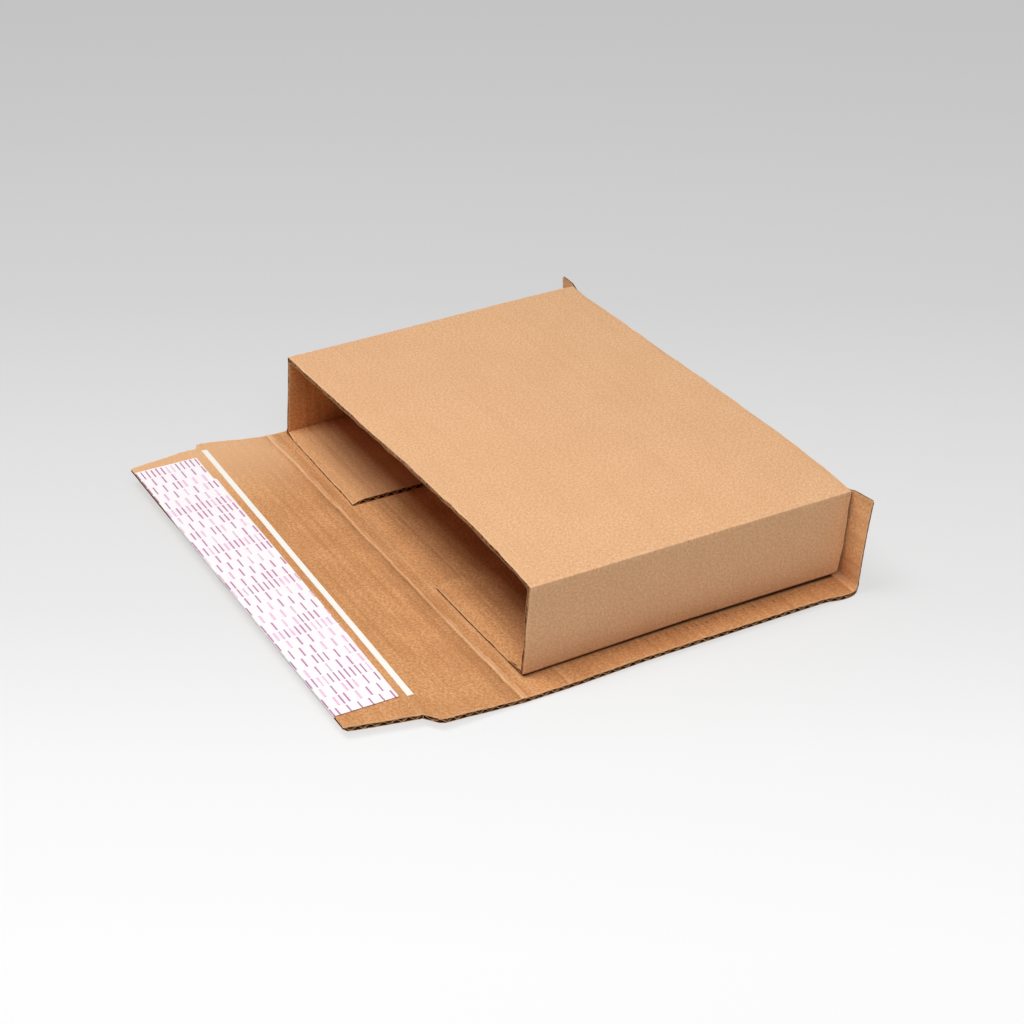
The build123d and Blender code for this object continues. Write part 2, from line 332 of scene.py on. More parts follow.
def kraftPaper(name, look):
    material, tree, shader = newMaterial(name)
    calc = partial(mathNode, tree)
    even = sheetVector(tree, 1, 1)
    drawn = sheetVector(tree, 1, kraft["fibreDraw"])
    pulp = noiseNode(tree, even, look["pulpScale"], 5.0, 0.68)
    cloud = noiseNode(tree, even, kraft["cloudScale"], 2.0)
    fibre = noiseNode(tree, drawn, look["fibreScale"], 2.0, 0.5)
    streak = noiseNode(tree, sheetVector(tree, 1, kraft["streakDraw"]), kraft["streakScale"], 3.0, 0.6)
    lightFleck = ramp(tree, noiseNode(tree, drawn, look["fleckScale"], 1.0), 0.66, 0.76, 0, look["fleck"])
    darkSpots = noiseNode(tree, even, look["fleckScale"] * 0.9, 1.0)
    darkFleck = ramp(tree, darkSpots, 0.32, 0.22, 0, look["fleck"])

    # washboard: the liner sinks a little between the crests of the wave
    split = addNode(tree, "SeparateXYZ", even)
    turn = calc("MULTIPLY", split.outputs[0], 2 * math.pi / (board["flutePitch"] * mm))
    patches = noiseNode(tree, sheetVector(tree, 1, kraft["patchDraw"]), kraft["patchScale"], 2.0)
    patchy = ramp(tree, patches, 0.40, 0.65, 0.15, 1)
    wave = calc("MULTIPLY", calc("SINE", turn), patchy)

    colour = mixColour(tree, ramp(tree, pulp, 0.32, 0.68, 0, 1), look["dark"], look["light"])
    for share, tint in (
            (ramp(tree, cloud, 0.35, 0.65, 0, look["cloud"]), "shade"),
            (ramp(tree, streak, 0.45, 0.75, 0, look["streak"]), "shade"),
            (calc("MULTIPLY_ADD", wave, look["stripe"], look["stripe"]), "shade"),
            (lightFleck, "paleFibre"),
            (darkFleck, "darkFibre"),
    ):
        colour = mixColour(tree, share, colour, look[tint])

    # the mesh says where the paper is rubbed pale or painted lighter, above 0, and where shade is painted
    # into it, below 0
    wear = addNode(tree, "Attribute", attribute_name="wearAndPaintedLight")
    colour = mixColour(tree, calc("MAXIMUM", wear.outputs["Fac"], 0.0), colour, look["wearAndPaintedLight"])
    shadow = calc("MAXIMUM", calc("MULTIPLY", wear.outputs["Fac"], -1.0), 0.0)
    colour = mixColour(tree, shadow, colour, look["paintedShade"])
    smoothest, roughest = look["rough"] - kraft["roughSpread"], look["rough"] + kraft["roughSpread"]
    rough = ramp(tree, fibre, 0.3, 0.7, smoothest, roughest)

    height = calc("MULTIPLY", wave, look["washboard"])
    for part, share in ((pulp, 1), (fibre, 0.7), (streak, 0.8)):
        height = calc("MULTIPLY_ADD", part, look["grain"] * share, height)
    surface(tree, shader, colour, rough, kraft["specular"], height, kraft["relief"])
    shader.inputs["Sheen Weight"].default_value = kraft["sheen"]
    return material


innerKraft = {
    "light": srgb(236, 179, 123), "dark": srgb(201, 138, 86), "shade": srgb(176, 112, 62),
    "paleFibre": srgb(248, 208, 164), "darkFibre": srgb(140, 86, 44), "wearAndPaintedLight": srgb(244, 198, 152),
    # the darkest colour here is painted shade, mixed in where the mesh marks shade
    "paintedShade": srgb(52, 24, 10),
    "pulpScale": 620, "fibreScale": 1300, "fleckScale": 900, "fleck": 0.34, "cloud": 0.24, "streak": 0.40,
    "stripe": 0.10, "washboard": 0.000034, "grain": 0.000050, "rough": 0.80,
}
# the end flap's inner face gets a paler copy of the inner kraft, painted light
endKraftLit = dict(innerKraft, light=srgb(250, 200, 146), dark=srgb(222, 160, 106), shade=srgb(200, 136, 84))
outerKraft = {
    "light": srgb(240, 192, 147), "dark": srgb(219, 166, 120), "shade": srgb(208, 154, 108),
    "paleFibre": srgb(248, 216, 180), "darkFibre": srgb(158, 108, 68), "wearAndPaintedLight": srgb(243, 200, 158),
    # the darkest colour here is painted shade, mixed in where the mesh marks shade
    "paintedShade": srgb(70, 32, 12),
    "pulpScale": 720, "fibreScale": 1500, "fleckScale": 1000, "fleck": 0.40, "cloud": 0.10, "streak": 0.12,
    "stripe": 0.02, "washboard": 0.000007, "grain": 0.000036, "rough": 0.80,
}


def cutPaper(name, light, dark, scale):
    # the knife edge of a liner, and the wave: coarse, torn fibres
    material, tree, shader = newMaterial(name)
    grain = noiseNode(tree, sheetVector(tree, 1, 1), scale, 4.0, 0.7)
    colour = mixColour(tree, ramp(tree, grain, 0.3, 0.7, 0, 1), dark, light)
    surface(tree, shader, colour, 0.92, 0.15, mathNode(tree, "MULTIPLY", grain, 0.0001), 0.7)
    return material


boardMaterials = [
    kraftPaper("kraftInside", innerKraft),
    kraftPaper("kraftOutside", outerKraft),
    cutPaper("knifeEdge", srgb(240, 196, 154), srgb(172, 122, 82), 900),
    cutPaper("waveMedium", srgb(214, 160, 110), srgb(100, 60, 32), 380),
    # painted shade: the dark brown inside the flutes
    cutPaper("insideFlutesShade", srgb(112, 72, 40), srgb(70, 40, 20), 900),
]
print("board materials made")


# the wrap sheet, one long blank. Its rail runs along X, from the closing flap's edge to the end flap's top

wrap = {
    "outerScore": 7.9,  # from the closing fold, towards the flap
    "innerScore": 21.4,  # from the closing fold, under the sleeve
    "wallRise": 6.0,  # degrees, past the outer score
    "bendLength": 3.0,
    "flapTwist": 2.0,  # how much higher the flap's back corner lies than its front one, each way
    "wander": 0.22,  # unevenness of the flat panels
    "unevenSize": 46.0,  # and how large its waves are
    "edgeCrush": 0.3,  # how far the face sinks at a knife edge
    "edgeCrushReach": 2.6,
    "marginLift": 2.0,  # how far the front margin curls up off the table, at most
    "marginCurl": 18.0,  # and over what width
    "shoulderSetback": 8.8,
    "frontShoulder": (7.0, 9.0),
    "backShoulder": (2.5, 6.8),
    "frontTaper": 9.5,
    "backTaper": 5.2,
    "edgeInset": 0.4,  # room for the liner that hangs over the seal flap's edge
    "cutSqueeze": 0.5,  # how far the knife squeezed the seal flap's edge together
    "cutSqueezeReach": 1.6,
    "endFlare": 3.0,  # how much wider the end flap is at its top, on each side
    "endCorner": 1.0,
    "earInset": 2.0,  # how much narrower the front ear is than that flare
    "foldRadius": 3.4,  # inside the end flap's fold
    "earSplay": 2.0,  # how far the end flap's front ear bends outward at its tip
    "backTipRise": 1.4,  # how much higher the end flap stands at its back corner
    "endSag": 2.0,  # and how much lower its middle stands
    "earWidth": (11.0, 10.0), # where the sag begins, from the front and the back edge
    "topRun": 8.0,  # how far it takes to sag
    "earEdge": 0.9,  # thickness left along the end flap's cut edges
    "earEdgeReach": 2.4,
    "footGap": 0.4,  # how far behind the sleeve's front foot the painted shade on the base begins
    "footBand": 8.0,  # and where the painted shade ends
    "shadeUnderFoot": 0.9,
    "backCornerSheen": 0.60,  # how much a painted sheen pales the flaps towards the back
    "acrossStep": 3.2,  # distance between the mesh's stations
    "rows": 60,  # and how many rows it has along the flutes
}
# each crease: where, its ridge, its grooves, how pale it is rubbed, how much shade is painted beside it and
# how far it wanders
scores = [
    {"at": -wrap["outerScore"], "ridge": 0.26, "groove": 0.20, "pale": 0.80, "dark": 0.30, "wander": 0.75},
    {"at": 0.0, "ridge": 0.04, "groove": 0.05, "pale": 0.30, "dark": 0.06, "wander": 0.3},
    {"at": wrap["innerScore"], "ridge": 0.06, "groove": 0.07, "pale": 0.35, "dark": 0.14, "wander": 0.4},
]

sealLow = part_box("seal_flap")[0]
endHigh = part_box("end_flap")[1]
sealLength = sealFoldX - sealLow.x / mm - wrap["edgeInset"]
wallRun = closingFoldX - sealFoldX - wrap["outerScore"]
wallLength = math.hypot(wallRun, foldAt["seal_fold"][2] / mm - baseTop)
closingLength = wrap["outerScore"] + wallLength
scores.append({"at": -closingLength, "ridge": 0.05, "groove": 0.16, "pale": 0.2, "dark": 0.05, "wander": 0.1})
creaseForm = {
    "wanderLength": 34.0, "kinkLength": 9.0, "doubledLength": 26.0,
    "grooveAt": 2.1, "grooveWidth": 0.8, "ridgeWidth": 1.5,
    "paleWidth": 0.8, "secondPaleAt": 1.9, "secondPaleWidth": 0.7,  # where it is doubled
    "darkAt": -1.6, "darkWidth": 0.7, "secondDarkAt": 3.1, "secondDarkWidth": 0.6,
    "shadeStripReach": 14.0,  # how far the painted shade strip on the flap's side runs
}
baseLength = endFoldX - thickness - closingFoldX
endHeight = endHigh.z / mm - baseTop
arcStart = baseLength - wrap["foldRadius"]
arcEnd = arcStart + wrap["foldRadius"] * math.pi / 2
wrapEnd = arcEnd + endHeight - wrap["foldRadius"]

# the flap's side of the rail, walked in small steps: out is the distance from the closing fold
railStep = 0.25
railOut = np.arange(0, closingLength + sealLength + 5, railStep)
turned = softStep((railOut - wrap["outerScore"]) / wrap["bendLength"] + 0.5)
turned -= softStep((railOut - closingLength) / wrap["bendLength"] + 0.5)
railAngle = np.radians(wrap["wallRise"]) * turned
railX = closingFoldX - np.concatenate([[0], np.cumsum(np.cos(railAngle[:-1]) * railStep)])
railZ = baseTop + np.concatenate([[0], np.cumsum(np.sin(railAngle[:-1]) * railStep)])

# the sleeve's walls, which the ears stand beside
sleeve = {
    "frontMargin": 21.5,
    "backMargin": 5.0,
    "frontFlap": 98.0,
    "backFlap": 103.6,
    "lean": 9.0,
    "height": 60.0,
    "bowAtOpening": 4.75,
    "bowAtEnd": 3.6,
    "bowPeak": 0.28,
    "foldArc": 3.2,  # rail length given to each fold
    "foldSharpness": 7,  # the higher, the crisper
    "endShort": 0.6,  # the far end stops this much before the solid's
    "wander": 0.30,  # unevenness of the walls and the top
    "wanderSize": 62.0,  # and how large its waves are
    "cornerRise": 2.0,  # how much the back top corner stands up at the far end
    "cornerSetback": 1.6,  # and how far it stands back from it
    "cornerReach": 70.0,
    "squeeze": 0.85,  # how far the liners are pressed together at the cuts, here and there
    "squeezeReach": 2.0,
    "crush": 2.1,  # how much thinner the glued ends are at the opening's cut
    "crushReach": 4.0,
    "ragged": 0.65,  # how far the knife wanders
    "torn": 0.5,  # and how deep the paper is torn beside it
    "frontGap": (1.3, 2.3),  # how high the front bottom fold stands off the base, at the opening and the end
    "backGap": (0.6, 1.2),
    "gapReach": 11.0,
    "frontSlip": 1.7,  # how far the sleeve is glued askew: the opening's edge at the front
    "backSlip": 2.6,  # and the back glue flap's free corner
    "frontStep": (3.8, 1.9, 2.9),  # how far out the front wall's foot stands at the opening, middle and end
    "farFoot": 1.4,  # how far back the front foot's corner stands at the far end
    "foldWear": 0.16,  # how pale the folds are
    "cutWear": 0.80,  # and the cuts
    "backFlapLight": 0.22,  # and the back glue flap, made paler by painted light
    "insideShade": 0.35,  # how much painted shade darkens the front glue flap's face, deep inside
    "footShade": 0.10,  # how much painted shade darkens the front wall at its foot
    "underShade": 0.9,  # and the underside of its fold
    "acrossStep": 4.6,  # distances between the mesh's stations
    "railStep": 9.0,
}
sleeveStart = openingX - closingFoldX
sleeveFrontY = frontY + sleeve["frontMargin"]
sleeveBackY = backY - sleeve["backMargin"]
sleeveTop = baseTop + sleeve["height"]


def heightOnEnd(across):
    return np.clip(across - arcEnd + wrap["foldRadius"], 0, None)


def wrapEdges(across):
    # the blank's front and back edges at each place along it
    front = np.full(np.shape(across), frontY)
    back = np.full(np.shape(across), backY)
    shoulderStart = closingLength - wrap["shoulderSetback"]
    for way, edge, shoulder in ((1, front, wrap["frontShoulder"]), (-1, back, wrap["backShoulder"])):
        run, inset = shoulder
        edge += way * inset * np.clip((-across - shoulderStart) / run, 0, 1)
    pastSeal = np.clip(-across - closingLength, 0, None) / sealLength
    front += wrap["frontTaper"] * pastSeal
    back -= wrap["backTaper"] * pastSeal
    up = heightOnEnd(across)
    straight = endHeight - wrap["endCorner"]
    flare = wrap["endFlare"] * np.clip(up / straight, 0, 1) - np.clip(up - straight, 0, None)
    narrower = fade(across, arcStart - 5, 13) * (1 - np.clip(up / endHeight, 0, 1) ** 3)
    return front - flare + wrap["earInset"] * narrower, back + flare


def wrapRail(across):
    # the inner face's place at each distance from the closing fold, and the way into the board
    out = np.clip(-across, 0, None)
    flapAngle = np.interp(out, railOut, railAngle)
    radius = wrap["foldRadius"]
    turn = np.clip((across - arcStart) / radius, 0, math.pi / 2)
    x = np.interp(out, railOut, railX) + np.clip(across, 0, arcStart) + radius * np.sin(turn)
    z = np.interp(out, railOut, railZ) + radius * (1 - np.cos(turn)) + np.clip(across - arcEnd, 0, None)
    intoX = np.where(out > 0, -np.sin(flapAngle), np.sin(turn))
    intoZ = np.where(out > 0, -np.cos(flapAngle), -np.cos(turn))
    return x, z, intoX, intoZ


def creases(across, along):
    # how far the face is pressed in at the scores, how pale it is rubbed there, and the shade painted beside
    # them
    pressed = np.zeros(np.shape(across))
    pale = np.zeros(np.shape(across))
    form = creaseForm
    kinks = roughLine(along, form["wanderLength"], 6) + 0.5 * roughLine(along, form["kinkLength"], 16)
    doubled = softStep(roughLine(along, form["doubledLength"], 17) + 0.5)
    for score in scores:
        off = across - score["at"] - score["wander"] * kinks
        for way in (-1, 1):
            pressed += score["groove"] * bump(off + way * form["grooveAt"], form["grooveWidth"])
        pressed -= score["ridge"] * bump(off, form["ridgeWidth"])
        secondPale = doubled * bump(off - form["secondPaleAt"], form["secondPaleWidth"])
        secondDark = doubled * bump(off - form["secondDarkAt"], form["secondDarkWidth"])
        # painted shade: dark lines beside each crease and a darker strip on its flap's side
        shadeStrip = softStep(-off / 2) * fade(off, -form["shadeStripReach"], 12)
        pale += score["pale"] * (bump(off, form["paleWidth"]) + 0.7 * secondPale)
        firstDark = bump(off - form["darkAt"], form["darkWidth"])
        pale -= score["dark"] * (firstDark + 0.5 * secondDark + 0.6 * shadeStrip)
    return pressed, pale


def earSplay(across, along):
    # the front ear stands free beside the sleeve's wall and bends outward towards its tip
    low = wrapEdges(across)[0]
    share = np.clip(heightOnEnd(across) / endHeight, 0, 1)
    frontWall = sleeveFrontY - sleeve["lean"] * share
    return wrap["earSplay"] * share * np.clip((frontWall - along) / (frontWall - low), 0, 1)


def wrapPoint(across, along, depth, ply):
    # across runs from the closing fold, minus towards the flap and plus towards the end flap
    x, z, intoX, intoZ = wrapRail(across)
    low, high = wrapEdges(across)
    fromEdge = np.clip(np.minimum(along - low, high - along), 0, None)
    onEnd = fade(across, arcStart, 4)

    # the face sinks at scores and knife edges
    splay = earSplay(across, along)
    crushed = wrap["edgeCrush"] * bump(fromEdge, wrap["edgeCrushReach"]) * (1 - onEnd)
    sunk = crushed * (1 + 0.8 * roughLine(across, 5.0, 3)) + creases(across, along)[0] + splay

    # the back face rises where the end flap and the seal flap are pressed thin along their cuts
    toCut = np.minimum(fromEdge, wrapEnd - across)
    thinned = (thickness - wrap["earEdge"]) * bump(toCut, wrap["earEdgeReach"]) * onEnd
    raised = np.clip(thinned - splay, 0, None)
    fromSealCut = np.clip(across + closingLength + sealLength, 0, None)
    raised = raised + wrap["cutSqueeze"] * thickness * bump(fromSealCut, wrap["cutSqueezeReach"])
    share = np.clip(depth, 0, thickness) / thickness
    depthHere = depth + (1 - share) * sunk - share * raised

    # the panels lie a little uneven, the flap is twisted and the front margin curls up
    onFlap = fade(-across, wrap["outerScore"] + 4, 12)
    uneven = wrap["wander"] * roughPlane(across, along, wrap["unevenSize"], 2) * onFlap
    twist = wrap["flapTwist"] * fade(-across, wrap["outerScore"], wallLength) * along / backY
    curl = fade(along, frontY + wrap["marginCurl"], -wrap["marginCurl"])
    lift = 0.25 + 0.75 * fade(across, 12, 70) + 0.25 * fade(-across, 25, 20)
    curl = wrap["marginLift"] * curl * lift * (1 - fade(across, arcStart - 22, 16))

    # the end flap's top edge sags between its ears, hidden by the sleeve, and its back tip stands up
    frontEar, backEar = wrap["earWidth"]
    sag = fade(along, frontY + frontEar, wrap["topRun"]) * fade(along, backY - backEar, -wrap["topRun"])
    topEdge = wrap["backTipRise"] * fade(along, backY - 14, 7) - wrap["endSag"] * sag
    z = z + topEdge * np.clip(heightOnEnd(across) / endHeight, 0, 1)

    # the knife wanders along the front and back edges
    edge = (along > high - onEdge) * 1.0 - (along < low + onEdge) * 1.0
    ragged = board["raggedness"] * (0.5 * roughLine(across, 2.2, 11 + ply) - 1) * np.abs(edge)
    height = z + intoZ * depthHere + twist + uneven + curl
    return np.stack([x + intoX * depthHere, along + edge * ragged, height], -1)


def frontFoot(across):
    # where the sleeve's front wall stands, which hides the base behind it
    far = (across - sleeveStart) / (baseLength - sleeveStart)
    return sleeveFrontY - np.interp(far, [0, 0.5, 1], sleeve["frontStep"]) + wrap["footGap"]


def wrapWearAndLight(across, along, ply):
    # paper is rubbed pale along the scores, the folds and the knife edges; painted shade lies beside the
    # scores and under the sleeve's front foot, and painted sheen pales the flap's back corner
    low, high = wrapEdges(across)
    wearAndPaintedLight = 0.5 * bump(np.minimum(along - low, high - along), 0.8)
    wearAndPaintedLight = wearAndPaintedLight + creases(across, along)[1] + 0.35 * bump(across - baseLength, 1.6)
    wearAndPaintedLight = wearAndPaintedLight * (0.75 + 0.35 * roughPlane(across, along, 4.0, 9))
    # painted sheen: the flaps grow paler towards their back corner
    wearAndPaintedLight = wearAndPaintedLight + wrap["backCornerSheen"] * fade(along, 70, 90) * softStep(-across / 12)
    # painted shade on the base's face under the sleeve's front foot
    inward = along - frontFoot(across)
    under = softStep(inward / 1.2) * fade(inward, wrap["footBand"], -3)
    under = under * (across > sleeveStart) * (across < endSeam)
    return np.clip(wearAndPaintedLight, -0.6, 1) * (1 - under) - wrap["shadeUnderFoot"] * under * (ply == 0)


# one wrap piece for each body, the hinged ones reaching just past their fold so that the sheet stays whole
blendReach = 1.2  # half the width of the strip that bends at a fold
seamReach = blendReach + 0.4
endSeam = arcStart - 0.4
mediumShares = np.linspace(0, 1, 15)
rowShares = np.unique(np.concatenate([
    np.linspace(0, 1, wrap["rows"]),
    np.arange(0.044, 0.068, 0.0024),  # under the sleeve's front foot
    [0.002, 0.005, 0.010, 0.990, 0.995, 0.998],  # along the knife edges
]))


def wrapPiece(name, start, end, fine, step=wrap["acrossStep"], materials=boardMaterials):
    stations = spread(start, end, step, fine)
    return corrugated(name, wrapPoint, stations, rowShares, mediumShares, wrapEdges, wrapWearAndLight, materials)


wrapBase = wrapPiece("wrapBase", seamReach, endSeam, [0, wrap["innerScore"], arcStart])
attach(wrapBase, "carton")
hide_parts("wrap_base")

closingFlap = wrapPiece("closingFlap", -closingLength + seamReach, seamReach,
                        [-wrap["outerScore"], 0, -closingLength])
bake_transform(closingFlap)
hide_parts("closing_flap")


def bendWithSealFlap(piece):
    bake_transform(piece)


flapEdge = closingLength + sealLength
sealFlap = wrapPiece("sealFlap", -flapEdge, -closingLength + seamReach, [-flapEdge, -closingLength])
bendWithSealFlap(sealFlap)
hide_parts("seal_flap")

# the end flap's face takes the paler kraft copy, painted light
endFlap = wrapPiece("endFlap", endSeam, wrapEnd, [arcStart, arcEnd, wrapEnd], 1.1,
                    [kraftPaper("kraftEndLit", endKraftLit)] + boardMaterials[1:3] + boardMaterials[2:4])
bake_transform(endFlap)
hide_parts("end_flap")
print("wrap sheet done")


# the sleeve, one strip folded round X and glued down by its two ends

sleeveLength = sleeveHigh.x / mm - openingX - sleeve["endShort"]


def insideCorner(before, corner, after):
    # where the inner faces of two panels meet, for the outer corner between them
    a = np.array(corner) - np.array(before)
    b = np.array(after) - np.array(corner)
    a, b = a / np.hypot(*a), b / np.hypot(*b)
    inA, inB = np.array([a[1], -a[0]]), np.array([b[1], -b[0]])
    middle = (inA + inB) / np.hypot(*(inA + inB))
    return np.array(corner) + middle * thickness / np.dot(middle, inA)


sleeveOutside = [
    (sleeveFrontY + sleeve["frontFlap"], baseTop),
    (sleeveFrontY, baseTop),
    (sleeveFrontY - sleeve["lean"], sleeveTop),
    (sleeveBackY - sleeve["lean"], sleeveTop),
    (sleeveBackY, baseTop),
    (sleeveBackY - sleeve["backFlap"], baseTop),
]
innerPoints = [np.array([sleeveOutside[0][0], baseTop + thickness])]
for n in range(1, 5):
    innerPoints.append(insideCorner(*sleeveOutside[n - 1:n + 2]))
innerPoints.append(np.array([sleeveOutside[5][0], baseTop + thickness]))

# the rail: five panels, with a short turning stretch at each fold
panels = []
railAt = 0.0
for n in range(5):
    span = innerPoints[n + 1] - innerPoints[n]
    panelLength = float(np.hypot(*span))
    direction = span / panelLength
    panels.append({
        "start": railAt, "end": railAt + panelLength, "length": panelLength, "from": innerPoints[n],
        "direction": direction, "outward": np.array([-direction[1], direction[0]]),
    })
    railAt += panelLength + sleeve["foldArc"]
sleeveRailEnd = panels[-1]["end"]
foldMiddles = [panel["end"] + sleeve["foldArc"] / 2 for panel in panels[:4]]
frontWallStart = panels[1]["start"]
backFlapStart = panels[4]["start"]
bowPower = math.log(0.5) / math.log(sleeve["bowPeak"])


def sleeveRail(along):
    # at each distance along the rail: the inner face's place in (y, z), the way out and a corner's reach
    y, z, outY, outZ = np.zeros((4,) + np.shape(along))
    reach = np.ones(np.shape(along))

    def put(here, *values):
        return [np.where(here, new, old) for new, old in zip(values, (y, z, outY, outZ))]

    for n, panel in enumerate(panels):
        here = (along >= panel["start"] - 1e-6) & (along <= panel["end"] + 1e-6)
        step = along - panel["start"]
        way = panel["direction"]
        y, z, outY, outZ = put(here, panel["from"][0] + way[0] * step, panel["from"][1] + way[1] * step,
                               *panel["outward"])
        if n == 4:
            break
        share = (along - panel["end"]) / sleeve["foldArc"]
        onFold = (share > 0) & (share < 1)
        first, second = panel["outward"], panels[n + 1]["outward"]
        angleOne = math.atan2(first[1], first[0])
        turn = (math.atan2(second[1], second[0]) - angleOne + math.pi) % (2 * math.pi) - math.pi
        angle = turn * np.clip(share, 0, 1)
        power = sleeve["foldSharpness"]
        corner = np.clip(np.cos(angle), 0, 1) ** power + np.clip(np.cos(turn - angle), 0, 1) ** power
        y, z, outY, outZ = put(onFold, *innerPoints[n + 1],
                               np.cos(angleOne + angle), np.sin(angleOne + angle))
        reach = np.where(onFold, corner ** (-1 / power), reach)
    return y, z, outY, outZ, reach


def sleevePoint(across, along, depth, ply):
    # across is the distance from the opening, along is the distance round the rail, depth runs outward
    y, z, outY, outZ, cornerReach = sleeveRail(along)
    far = across / sleeveLength
    near = 1 - far

    # the top bows up, most near the front, and less at the far end
    share = np.clip((along - panels[2]["start"]) / panels[2]["length"], 0, 1)
    bowHeight = sleeve["bowAtOpening"] * near + sleeve["bowAtEnd"] * far
    lifted = bowHeight * np.sin(math.pi * share ** bowPower)
    farCorner = softStep(far) * bump(along - foldMiddles[2], sleeve["cornerReach"])
    lifted = lifted + sleeve["cornerRise"] * farCorner * fade(along, backFlapStart, -50)

    # the bottom folds stand off the base a little, more towards the far end
    for middle, gap in ((foldMiddles[0], sleeve["frontGap"]), (foldMiddles[3], sleeve["backGap"])):
        lifted = lifted + (gap[0] * near + gap[1] * far) * bump(along - middle, sleeve["gapReach"])

    # walls and top wander a little, and nothing moves at the glued flaps or the folds
    free = fade(along, frontWallStart, 14) * fade(along, backFlapStart, -14)
    for panel in panels[1:4]:
        for place in (panel["start"], panel["end"]):
            free = free * (1 - bump(along - place, 5.0))
    uneven = sleeve["wander"] * (roughPlane(across, along, sleeve["wanderSize"], 4) - 0.4) * free

    # at its cuts the board is thinner here and there, and at the opening the glued flaps are crushed
    standing = fade(along, panels[0]["end"] - 4, 4) * fade(along, backFlapStart + 4, -4)
    toCut = np.minimum(across, sleeveLength - across)
    squeezed = sleeve["squeeze"] * bump(toCut, sleeve["squeezeReach"])
    squeezed = squeezed * np.abs(roughLine(along, 9.0, 20 + ply))
    crushed = sleeve["crush"] * bump(across, sleeve["crushReach"]) * (1 - standing)
    crushed = crushed * (0.85 + 0.15 * roughLine(along, 7.0, 25))
    fromInner = depth + np.where(depth > thickness / 2, -squeezed, squeezed) * standing
    fromInner = fromInner + (1 - depth / thickness) * crushed

    # the knife wanders along the cuts, and the paper is torn
    knife = sleeve["ragged"] * (0.5 + 0.5 * roughLine(along, 5.0, 30 + ply))
    knife = knife + sleeve["torn"] * fade(roughLine(along, 3.0, 35 + ply), 0.7, 0.2)
    knife = knife * ((across < onEdge) * 1.0 - (across > sleeveLength - onEdge) * 1.0)

    # glued askew: the opening's edge runs forward at the front foot and along the back glue flap
    footShare = np.clip((panels[1]["end"] - along) / panels[1]["length"], 0, 1)
    backShare = np.clip((along - backFlapStart) / panels[4]["length"], 0, 1)
    slip = (sleeve["frontSlip"] * footShare + sleeve["backSlip"] * backShare) * near
    step = np.interp(far, [0, 0.5, 1], sleeve["frontStep"]) * footShare * softStep(along / 60)
    farFoot = sleeve["farFoot"] * bump(along - foldMiddles[0], 4.0) * fade(far, 0.93, 0.07)
    out = fromInner * cornerReach + uneven
    x = openingX + across + knife - slip - farFoot - sleeve["cornerSetback"] * far * farCorner
    return np.stack([x, y + outY * out - step, z + outZ * out + lifted], -1)


def sleeveWearAndLight(across, along, ply):
    # paper is rubbed pale along the cuts and the folds
    wearAndPaintedLight = sleeve["cutWear"] * bump(np.minimum(across, sleeveLength - across), 0.9)
    for middle in foldMiddles:
        wearAndPaintedLight = wearAndPaintedLight + sleeve["foldWear"] * bump(along - middle, 1.3)
    wearAndPaintedLight = np.clip(wearAndPaintedLight, 0, 1) * (0.7 + 0.4 * roughPlane(across, along, 5.0, 8))
    # painted light makes the back glue flap paler
    wearAndPaintedLight = wearAndPaintedLight + sleeve["backFlapLight"] * fade(along, backFlapStart, 10)
    # inside, painted shade darkens the front glue flap away from the opening
    if ply == 0:
        wearAndPaintedLight = wearAndPaintedLight - sleeve["insideShade"] * fade(across, 15, 80) * (along < frontWallStart)
    # outside, painted shade darkens the front wall towards its foot and the fold's underside
    if ply == 2:
        up = along - frontWallStart
        wearAndPaintedLight = wearAndPaintedLight - sleeve["footShade"] * bump(up, 9.0) * (up > 0)
        wearAndPaintedLight = wearAndPaintedLight - sleeve["underShade"] * softStep(-up / sleeve["foldArc"])
    return wearAndPaintedLight


def sleeveEdges(across):
    return np.zeros(np.shape(across)), np.full(np.shape(across), sleeveRailEnd)


railStations = spread(0, sleeveRailEnd, sleeve["railStep"], foldMiddles, 0.35, 2.1)
sleeveAcross = spread(0, sleeveLength, sleeve["acrossStep"], [0, sleeveLength], 0.6, 3.0)
mediumRail = spread(0, sleeveRailEnd, 16.0, foldMiddles, 0.8, 1.7) / sleeveRailEnd

# depth runs outward from the inner face here, so ply 0 is the inner liner
sleeveBoard = corrugated("sleeveBoard", sleevePoint, sleeveAcross, railStations / sleeveRailEnd, mediumRail,
                         sleeveEdges, sleeveWearAndLight, boardMaterials)
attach(sleeveBoard, "carton")
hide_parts("sleeve")
print("sleeve done")


# thin sheets stuck on the flap: inner and outer edges are distances from the closing fold

stuckGap = 0.02  # between a stuck sheet and what it is stuck on


def onFlapFace(across, along, above):
    return wrapPoint(across, along, -above, 0)


def thinSheet(name, innerEdge, outerEdge, low, high, rows, columns, top, bottom, material, place=onFlapFace):
    alongs = np.linspace(low, high, rows)
    shares = np.linspace(0, 1, columns)
    inner, outer = innerEdge(alongs), outerEdge(alongs)
    across = -(inner[None, :] + (outer - inner)[None, :] * shares[:, None])
    along = np.repeat(alongs[None, :], columns, 0)
    flat = np.ones(across.shape)
    uv = np.stack([across, along], -1)
    sheet = slab(place(across, along, top * flat), place(across, along, bottom * flat),
                 0, 0, 0, flat * 0, flat * 0, uv, uv)
    return meshFrom(name, [sheet], [material])


